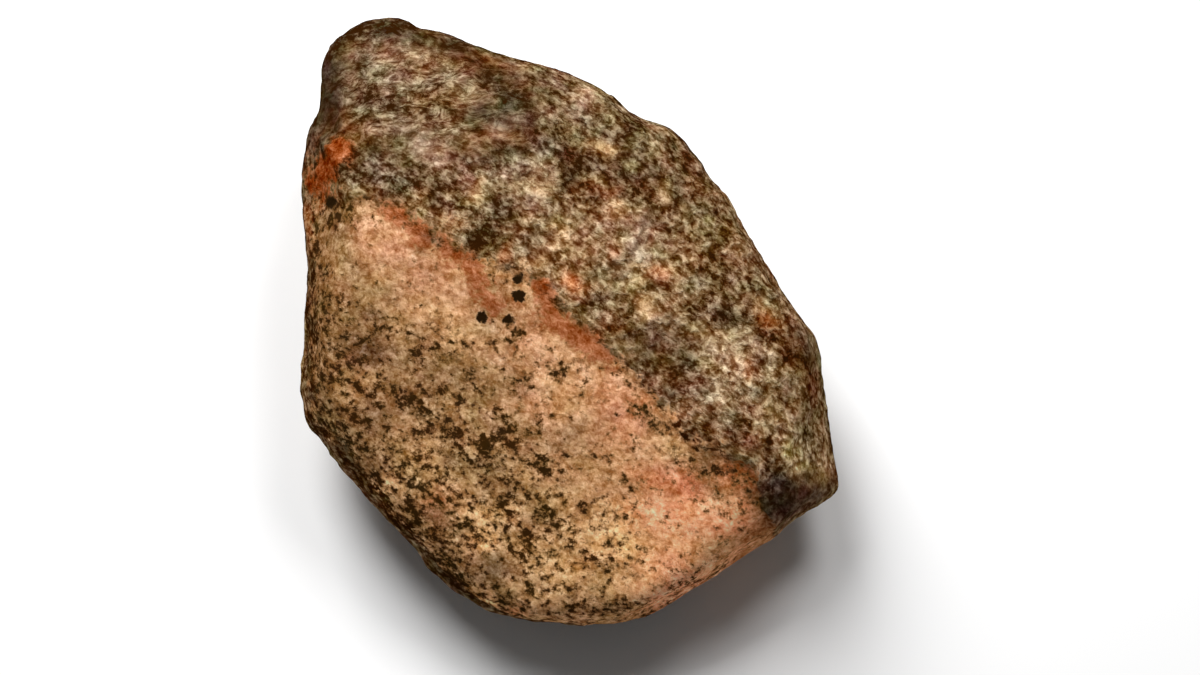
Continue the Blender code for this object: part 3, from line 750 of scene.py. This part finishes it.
def spot_inset(points):
    """How far each point lies inside the nearest lone black grain."""
    inset = FAR_OUTSIDE
    for u, v, radius in BLACK_SPOTS:
        off = np.hypot(points[:, 0] - u * MM, points[:, 1] - v * MM)
        inset = np.maximum(inset, np.where(points[:, 2] > 0, radius * MM - off, FAR_OUTSIDE))
    return inset


# Away from the broad face the crust turns from one tone to another every few centimetres: the size
# of each tone's clouds in metres, the seed of its noise, and its colour. A cloud begins and is full
# at these heights of the noise.
SIDE_COLOUR = (84, 60, 38)
SIDE_TONES = (
    (0.060, 41, "tawny"), (0.045, 42, "umber"), (0.050, 43, "chestnut"), (0.040, 44, "moss"),
    (0.024, 45, "khaki"), (0.022, 46, "plum"), (0.018, 47, "olive"), (0.014, 48, "umber"),
)
CLOUD_START = 0.05
CLOUD_FULL = 0.45
CLOUD_STRENGTH = 0.8

# How far over the edge the crust's own colours turn into the side's, and how far below the seam
# they turn into the rim's.
SIDE_BLEND = 0.012
RIM_BLEND = 0.008

side_colours = np.tile(share_of(SIDE_COLOUR), (len(face_points), 1))
for width, seed, colour in SIDE_TONES:
    height = smooth_noise(face_points / width, seed)
    weight = CLOUD_STRENGTH * smooth_step((height - CLOUD_START) / (CLOUD_FULL - CLOUD_START))[:, None]
    side_colours = side_colours * (1 - weight) + share_of(COLOURS[colour]) * weight

down_side = smooth_step(-edge_inset(face_points) / SIDE_BLEND)[:, None]
crust_colours = patched(ragged_places, CRUST_COLOUR, CRUST_PATCHES)
rim_colours = patched(ragged_places, RIM_COLOUR, RIM_PATCHES)
below_seam = smooth_step(-above_seam(face_points) / RIM_BLEND)[:, None]
crust_colours = crust_colours * (1 - below_seam) + rim_colours * below_seam
crust_colours = crust_colours * (1 - down_side) + side_colours * down_side
# Painted light and shade go into the colours here, together with the stone's own lighter and darker
# patches.
crust_colours *= overlaid(ragged_places, 1.0, CRUST_TONE_AND_PAINTED_LIGHT)[:, None] * touches_and_painted_light(ragged_places)
face_colours = patched(ragged_places, FACE_COLOUR, FACE_PATCHES)
face_colours *= overlaid(ragged_places, 1.0, FACE_TONE_AND_PAINTED_LIGHT)[:, None] * touches_and_painted_light(ragged_places)


def keep(name, values):
    """Stores one number or colour for each corner of the stone's mesh, for its material to read."""
    if values.ndim == 2:
        attribute = stone_mesh.color_attributes.new(name, "FLOAT_COLOR", "POINT")
        attribute.data.foreach_set("color", np.column_stack([values, np.ones(len(values))]).ravel())
    else:
        attribute = stone_mesh.attributes.new(name, "FLOAT", "POINT")
        attribute.data.foreach_set("value", values)


keep("crust_colour", crust_colours)
keep("face_colour", face_colours)
keep("pale_mm", pale_inset(face_points) / MM)
clump_patches = [(u, v, radius, radius, 0, CLUMP_THICKNESS) for u, v, radius in CLUMPS]
keep("grain_share", overlaid(ragged_places, GRAINS_ELSEWHERE, [*GRAIN_PATCHES, *clump_patches]))
keep("streak_share", overlaid(ragged_places, 0.0, STREAK_PATCHES))
keep("tone_share", overlaid(ragged_places, 1.0, TONE_PATCHES))
keep("rust_mm", np.max([streak_inset(face_points, *streak) for streak in RUST_STREAKS], axis=0) / MM)
keep("orange_mm", streak_inset(face_points, *ORANGE_PATCH) / MM)
keep("spot_mm", spot_inset(face_points) / MM)


# The stone's material
# Weathered basalt with no gloss. One material covers it: the markings give its average colours, and
# crystals, gaps and grains a few millimetres across, made of noise, are added to them.

# All colours are worked out as the eye sees them, as sRGB shares, and turned to linear light last.
GAP_COLOUR = (46, 27, 11)
GRAIN_EDGE_COLOUR = (110, 75, 42)
GRAIN_COLOUR = (52, 35, 17)
RUST_COLOUR = (148, 84, 50)
ORANGE_COLOUR = (124, 60, 26)
SPOT_COLOUR = (40, 28, 16)
DARKEST = (0.01, 0.01, 0.01)
PALEST = (0.97, 0.95, 0.90)
EYE_TO_LINEAR = 2.2

# Noise of each kind: the size of its largest humps in metres, its detail and its roughness, and last,
# where it is drawn to flat lights and darks, how far these lie apart.
CRYSTAL_NOISE = (0.0054, 4.0, 0.9)
FINE_CRYSTALS = (0.0037, 3.0, 0.65, 0.34)
COARSE_CRYSTALS = (0.0084, 3.0, 0.7, 0.22)
STREAK_NOISE = (0.0130, 3.0, 0.7)
FINE_STREAKS = (0.0050, 4.0, 0.8, 0.42)
WARM_NOISE = (0.0140, 3.0, 0.6)
GREEN_NOISE = (0.0120, 3.0, 0.6)
DUST_NOISE = (0.0100, 5.0, 0.9)
FINE_DUST = (0.0030, 2.0, 0.6, 0.15)
FINE_GRAINS = (0.0034, 3.0, 0.7)
COARSE_GRAINS = (0.0056, 3.0, 0.65)
GRAIN_CLUMPS = (0.0140, 2.0, 0.5)

# Beyond this height to either side, mottled noise is flat.
FLAT_FROM = 0.16

# Noise that is read this far off, in metres, is another noise.
ELSEWHERE = (1, 2, 3)
FURTHER = (3, 1, 2)

# Crystals and dust lie a little drawn out along the seam, down to the right, and near the tip they
# are drawn out along u: below 1 a direction is drawn out, above 1 it is drawn in.
SEAM_TURN = math.radians(34)
SEAM_DRAWN = (0.88, 1.14, 1.0)
TIP_DRAWN = (0.72, 1.18, 1.0)

# Crystals, streaks and dust have rubbed edges: the size of the noise that pushes them about, and how
# far it pushes them, in metres.
CRYSTAL_PUSH = (0.0040, 0.0026)
STREAK_PUSH = (0.012, 0.012)
DUST_PUSH = (0.008, 0.008)


def add(tree, kind, inputs=None, **settings):
    """Adds a node with these settings, and sets or wires each of its inputs."""
    node = tree.nodes.new(kind)
    for name, value in settings.items():
        setattr(node, name, value)
    for name, value in (inputs or {}).items():
        if isinstance(value, bpy.types.NodeSocket):
            tree.links.new(value, node.inputs[name])
        else:
            node.inputs[name].default_value = value
    return node


def maths(tree, operation, first, second=0.0, third=0.0):
    """The value of a Math node."""
    return add(tree, "ShaderNodeMath", {0: first, 1: second, 2: third}, operation=operation).outputs[0]


def vector(tree, operation, first, second=(0, 0, 0), third=(0, 0, 0)):
    """The vector of a Vector Math node."""
    inputs = {0: first, 1: second, 2: third}
    return add(tree, "ShaderNodeVectorMath", inputs, operation=operation).outputs[0]


def weighted(tree, first, *others):
    """The sum of values, each a pair of the value and the weight that it is multiplied by."""
    total = maths(tree, "MULTIPLY", *first)
    for value, weight in others:
        total = maths(tree, "MULTIPLY_ADD", value, weight, total)
    return total


def ramp(tree, value, low, high):
    """The value from low to high as a smooth share from 0 to 1."""
    inputs = {"Value": value, "From Min": low, "From Max": high}
    return add(tree, "ShaderNodeMapRange", inputs, interpolation_type="SMOOTHSTEP").outputs["Result"]


def blend(tree, share, first, second):
    """The first vector turning into the second as the share goes from 0 to 1."""
    # These are the sockets of a Mix node that mixes vectors: its factor, A and B, and its result.
    return add(tree, "ShaderNodeMix", {0: share, 4: first, 5: second}, data_type="VECTOR").outputs[1]


def noise(tree, place, size, detail, roughness):
    """Noise about 0 whose largest humps are about this size in metres."""
    inputs = {"Vector": place, "Scale": 1 / size, "Detail": detail, "Roughness": roughness}
    return maths(tree, "SUBTRACT", add(tree, "ShaderNodeTexNoise", inputs).outputs["Fac"], 0.5)


def pushed(tree, place, size, amount):
    """The place, pushed about by noise of this size and by about this amount, in metres."""
    inputs = {"Vector": place, "Scale": 1 / size, "Detail": 2.0}
    colour = add(tree, "ShaderNodeTexNoise", inputs).outputs["Color"]
    push = vector(tree, "SUBTRACT", colour, (0.5, 0.5, 0.5))
    return vector(tree, "MULTIPLY_ADD", push, (amount, amount, amount), place)


def mottled(tree, place, size, detail, roughness, strength):
    """Noise about 0 of this size in metres, drawn by an s-curve to flat lights and darks."""
    share = ramp(tree, noise(tree, place, size, detail, roughness), -FLAT_FROM, FLAT_FROM)
    return maths(tree, "MULTIPLY_ADD", share, strength, -strength / 2)


def attribute(tree, name, output="Fac"):
    """What the stone's mesh keeps under this name."""
    return add(tree, "ShaderNodeAttribute", attribute_name=name).outputs[output]


def eye(colour):
    """An sRGB colour from 0 to 255 for a vector socket."""
    return tuple(share_of(colour))


def crust_texture(tree, place, laid, apart):
    """Light crystals and dark gaps about 0: three noises added up, which near the tip turn into two
    noises that are drawn out along u. Lights are then raised by a share of their square."""
    rubbed = pushed(tree, laid, *CRYSTAL_PUSH)
    blocky = weighted(
        tree,
        (noise(tree, laid, *CRYSTAL_NOISE), 0.6),
        (mottled(tree, rubbed, *FINE_CRYSTALS), 1.0),
        (mottled(tree, vector(tree, "ADD", rubbed, ELSEWHERE), *COARSE_CRYSTALS), 1.0),
    )
    drawn_out = pushed(tree, vector(tree, "MULTIPLY", place, TIP_DRAWN), *STREAK_PUSH)
    streaky = weighted(
        tree,
        (noise(tree, apart, *STREAK_NOISE), 0.7),
        (mottled(tree, drawn_out, *FINE_STREAKS), 1.0),
    )
    streaks = ramp(tree, attribute(tree, "streak_share"), 0.1, 0.8)
    tone = maths(tree, "MULTIPLY_ADD", streaks, maths(tree, "SUBTRACT", streaky, blocky), blocky)
    tone = maths(tree, "MULTIPLY", tone, attribute(tree, "tone_share"))
    return weighted(tree, (tone, 1.0), (maths(tree, "MULTIPLY", tone, tone), 0.35))


def hue_drift(tree, place, warm):
    """How far red, green and blue drift from place to place: towards red with the first noise, and
    from blue towards green with the second."""
    green = noise(tree, vector(tree, "ADD", place, FURTHER), *GREEN_NOISE)
    parts = {
        0: maths(tree, "MULTIPLY", warm, 0.14),
        1: weighted(tree, (warm, -0.03), (green, 0.02)),
        2: maths(tree, "MULTIPLY", green, -0.08),
    }
    return add(tree, "ShaderNodeCombineXYZ", parts).outputs[0]


def crust_look(tree, crust_tone, hue):
    """The crust's colour: its patches, the hue's drift and the crystals' tone added up, and nowhere
    darker than the gaps."""
    crust = vector(tree, "ADD", attribute(tree, "crust_colour", "Vector"), hue)
    crust = vector(tree, "MULTIPLY_ADD", crust_tone, (0.98, 1, 0.93), crust)
    return vector(tree, "MAXIMUM", crust, eye(GAP_COLOUR))


def grain_noise(tree, place, laid, apart):
    """Noise about 0 that is lowest inside the dark grains: fine, coarse and clumped grains."""
    return weighted(
        tree,
        (noise(tree, place, *FINE_GRAINS), 1.1),
        (noise(tree, apart, *COARSE_GRAINS), 0.85),
        (noise(tree, laid, *GRAIN_CLUMPS), 0.45),
    )


def face_look(tree, place, dust_tone, grain, cores, hue):
    """The pale face's colour: its patches with mottled dust on them, then dark grains with brown
    edges, and the hue's drift."""
    face = attribute(tree, "face_colour", "Vector")
    face = vector(tree, "MULTIPLY_ADD", dust_tone, (1.2, 1.2, 1.2), face)
    face = vector(tree, "MULTIPLY_ADD", mottled(tree, place, *FINE_DUST), (1, 1, 0.9), face)
    edges = maths(tree, "MULTIPLY", ramp(tree, grain, -0.20, 0.06), 0.8)
    face = blend(tree, edges, face, eye(GRAIN_EDGE_COLOUR))
    face = blend(tree, cores, face, eye(GRAIN_COLOUR))
    return vector(tree, "MULTIPLY_ADD", hue, (0.6, 0.6, 0.6), face)


def stone_material():
    """The whole stone's material: the crust, the pale face over it, and rust and spots over both."""
    material = bpy.data.materials.new("weathered_stone_finish")
    material.use_nodes = True
    tree = material.node_tree
    shader = tree.nodes["Principled BSDF"]
    shader.inputs["Specular IOR Level"].default_value = 0.0
    place = add(tree, "ShaderNodeTexCoord").outputs["Object"]
    laid = add(tree, "ShaderNodeVectorRotate", {"Vector": place, "Angle": SEAM_TURN}).outputs[0]
    laid = vector(tree, "MULTIPLY", laid, SEAM_DRAWN)
    apart = vector(tree, "ADD", laid, ELSEWHERE)

    crust_tone = crust_texture(tree, place, laid, apart)
    warm = noise(tree, place, *WARM_NOISE)
    hue = hue_drift(tree, place, warm)
    crust = crust_look(tree, crust_tone, hue)

    dust_tone = noise(tree, pushed(tree, laid, *DUST_PUSH), *DUST_NOISE)
    specks = grain_noise(tree, place, laid, apart)
    grain = maths(tree, "MULTIPLY_ADD", attribute(tree, "grain_share"), 0.34, -0.32)
    grain = maths(tree, "SUBTRACT", grain, specks)
    cores = maths(tree, "MULTIPLY", ramp(tree, grain, -0.03, 0.14), 0.95)
    face = face_look(tree, place, dust_tone, grain, cores, hue)

    # The face ends raggedly at the seam. These measures are in mm, and above 0 inside each marking.
    ragged = weighted(tree, (warm, 20.0), (crust_tone, 14.0))
    pale = ramp(tree, maths(tree, "ADD", ragged, attribute(tree, "pale_mm")), -2.0, 2.0)
    look = blend(tree, pale, crust, face)

    # Rust has run along the seam, and keeps something of the dust's and the crystals' tone.
    rust_tone = weighted(tree, (dust_tone, 1.2), (crust_tone, 0.3))
    rust = vector(tree, "ADD", rust_tone, eye(RUST_COLOUR))
    rust_mm = maths(tree, "MULTIPLY_ADD", ragged, 0.9, attribute(tree, "rust_mm"))
    look = blend(tree, maths(tree, "MULTIPLY", ramp(tree, rust_mm, -4.0, 3.5), 0.95), look, rust)
    orange = vector(tree, "ADD", rust_tone, eye(ORANGE_COLOUR))
    orange_mm = maths(tree, "MULTIPLY_ADD", ragged, 1.2, attribute(tree, "orange_mm"))
    look = blend(tree, ramp(tree, orange_mm, -2.5, 5.0), look, orange)
    spot_mm = maths(tree, "MULTIPLY_ADD", specks, 6.0, attribute(tree, "spot_mm"))
    look = blend(tree, ramp(tree, spot_mm, -0.8, 0.7), look, eye(SPOT_COLOUR))

    look = vector(tree, "MINIMUM", vector(tree, "MAXIMUM", look, DARKEST), PALEST)
    base = add(tree, "ShaderNodeGamma", {"Color": look, "Gamma": EYE_TO_LINEAR}).outputs[0]
    tree.links.new(base, shader.inputs["Base Color"])

    # Crystals stand up, far less on the pale face, where the grains lie a little low.
    height = maths(tree, "MULTIPLY", crust_tone, maths(tree, "MULTIPLY_ADD", pale, -0.75, 1.0))
    height = maths(tree, "MULTIPLY_ADD", cores, maths(tree, "MULTIPLY", pale, -0.2), height)
    bump = add(tree, "ShaderNodeBump", {"Height": height, "Strength": 0.7, "Distance": 0.0014})
    tree.links.new(bump.outputs["Normal"], shader.inputs["Normal"])
    tree.links.new(ramp(tree, crust_tone, 0.9, -0.6), shader.inputs["Roughness"])
    return material


def placed(name, data):
    """A new object of this name in the scene, at the origin, with this mesh, camera or light."""
    item = bpy.data.objects.new(name, data)
    bpy.context.scene.collection.objects.link(item)
    return item


stone = placed("meteorite_surface", stone_mesh)
stone_mesh.materials.append(stone_material())
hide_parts("meteorite")
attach(stone, "root")


# The floor
# A pale matt floor that the stone lies on. It isn't part of the object.

FLOOR_REACH = 6.0
FLOOR_WHITE = 0.90

floor_mesh = bpy.data.meshes.new("floor")
floor_sides = ((-1, -1), (1, -1), (1, 1), (-1, 1))
floor_corners = [(x * FLOOR_REACH, y * FLOOR_REACH, 0.0) for x, y in floor_sides]
floor_mesh.from_pydata(floor_corners, [], [(0, 1, 2, 3)])
floor = placed("floor", floor_mesh)
floor_finish = bpy.data.materials.new("floor_finish")
floor_finish.use_nodes = True
floor_shader = floor_finish.node_tree.nodes["Principled BSDF"]
floor_shader.inputs["Base Color"].default_value = (FLOOR_WHITE, FLOOR_WHITE, FLOOR_WHITE, 1)
floor_shader.inputs["Roughness"].default_value = 0.9
floor_shader.inputs["Specular IOR Level"].default_value = 0.1
floor_mesh.materials.append(floor_finish)


# Light and camera
# A large soft lamp from the upper left of the picture, a small one from the upper right and a weak
# white sky, and a long lens that looks straight down on the broad face.

SKY_STRENGTH = 0.106

sky = bpy.data.worlds.new("sky")
bpy.context.scene.world = sky
sky.use_nodes = True
sky_shader = sky.node_tree.nodes["Background"]
sky_shader.inputs["Color"].default_value = (1, 1, 1, 1)
sky_shader.inputs["Strength"].default_value = SKY_STRENGTH

# The picture's width and middle and the pixel of the face frame's own middle, the size of a pixel
# on the stone, and the lens and the film that take it, in mm.
PICTURE_WIDTH = 1200
PICTURE_MIDDLE = (600, 337.5)
STONE_PIXEL = (569, 320)
MM_PER_PIXEL = 0.551
LENS = 120
SENSOR = 36
CLIP_END = 20

reach = PICTURE_WIDTH * MM_PER_PIXEL * MM * LENS / SENSOR
aim_u = (PICTURE_MIDDLE[0] - STONE_PIXEL[0]) * MM_PER_PIXEL * MM
aim_v = (STONE_PIXEL[1] - PICTURE_MIDDLE[1]) * MM_PER_PIXEL * MM
camera_data = bpy.data.cameras.new("camera")
camera_data.lens = LENS
camera_data.sensor_width = SENSOR
camera_data.clip_end = CLIP_END
camera = placed("camera", camera_data)
camera.location = to_world(np.array([[aim_u, aim_v, WALL_LEVEL + reach]]))[0]
camera.rotation_euler = (LEAN, 0, 0)
bpy.context.scene.camera = camera


def lamp(name, place, size, power):
    """A lamp of this width and height at a place, turned to the middle of the floor."""
    data = bpy.data.lights.new(name, "AREA")
    data.shape = "RECTANGLE"
    data.size, data.size_y = size
    data.energy = power
    item = placed(name, data)
    item.location = place
    item.rotation_mode = "QUATERNION"
    item.rotation_quaternion = item.location.to_track_quat("Z", "Y")


lamp("key", (-0.68, 1.30, 1.74), (0.82, 1.76), 65)
lamp("fill", (0.45, 0.78, 1.60), (0.52, 0.52), 13)
bpy.context.scene.view_settings.view_transform = "Standard"
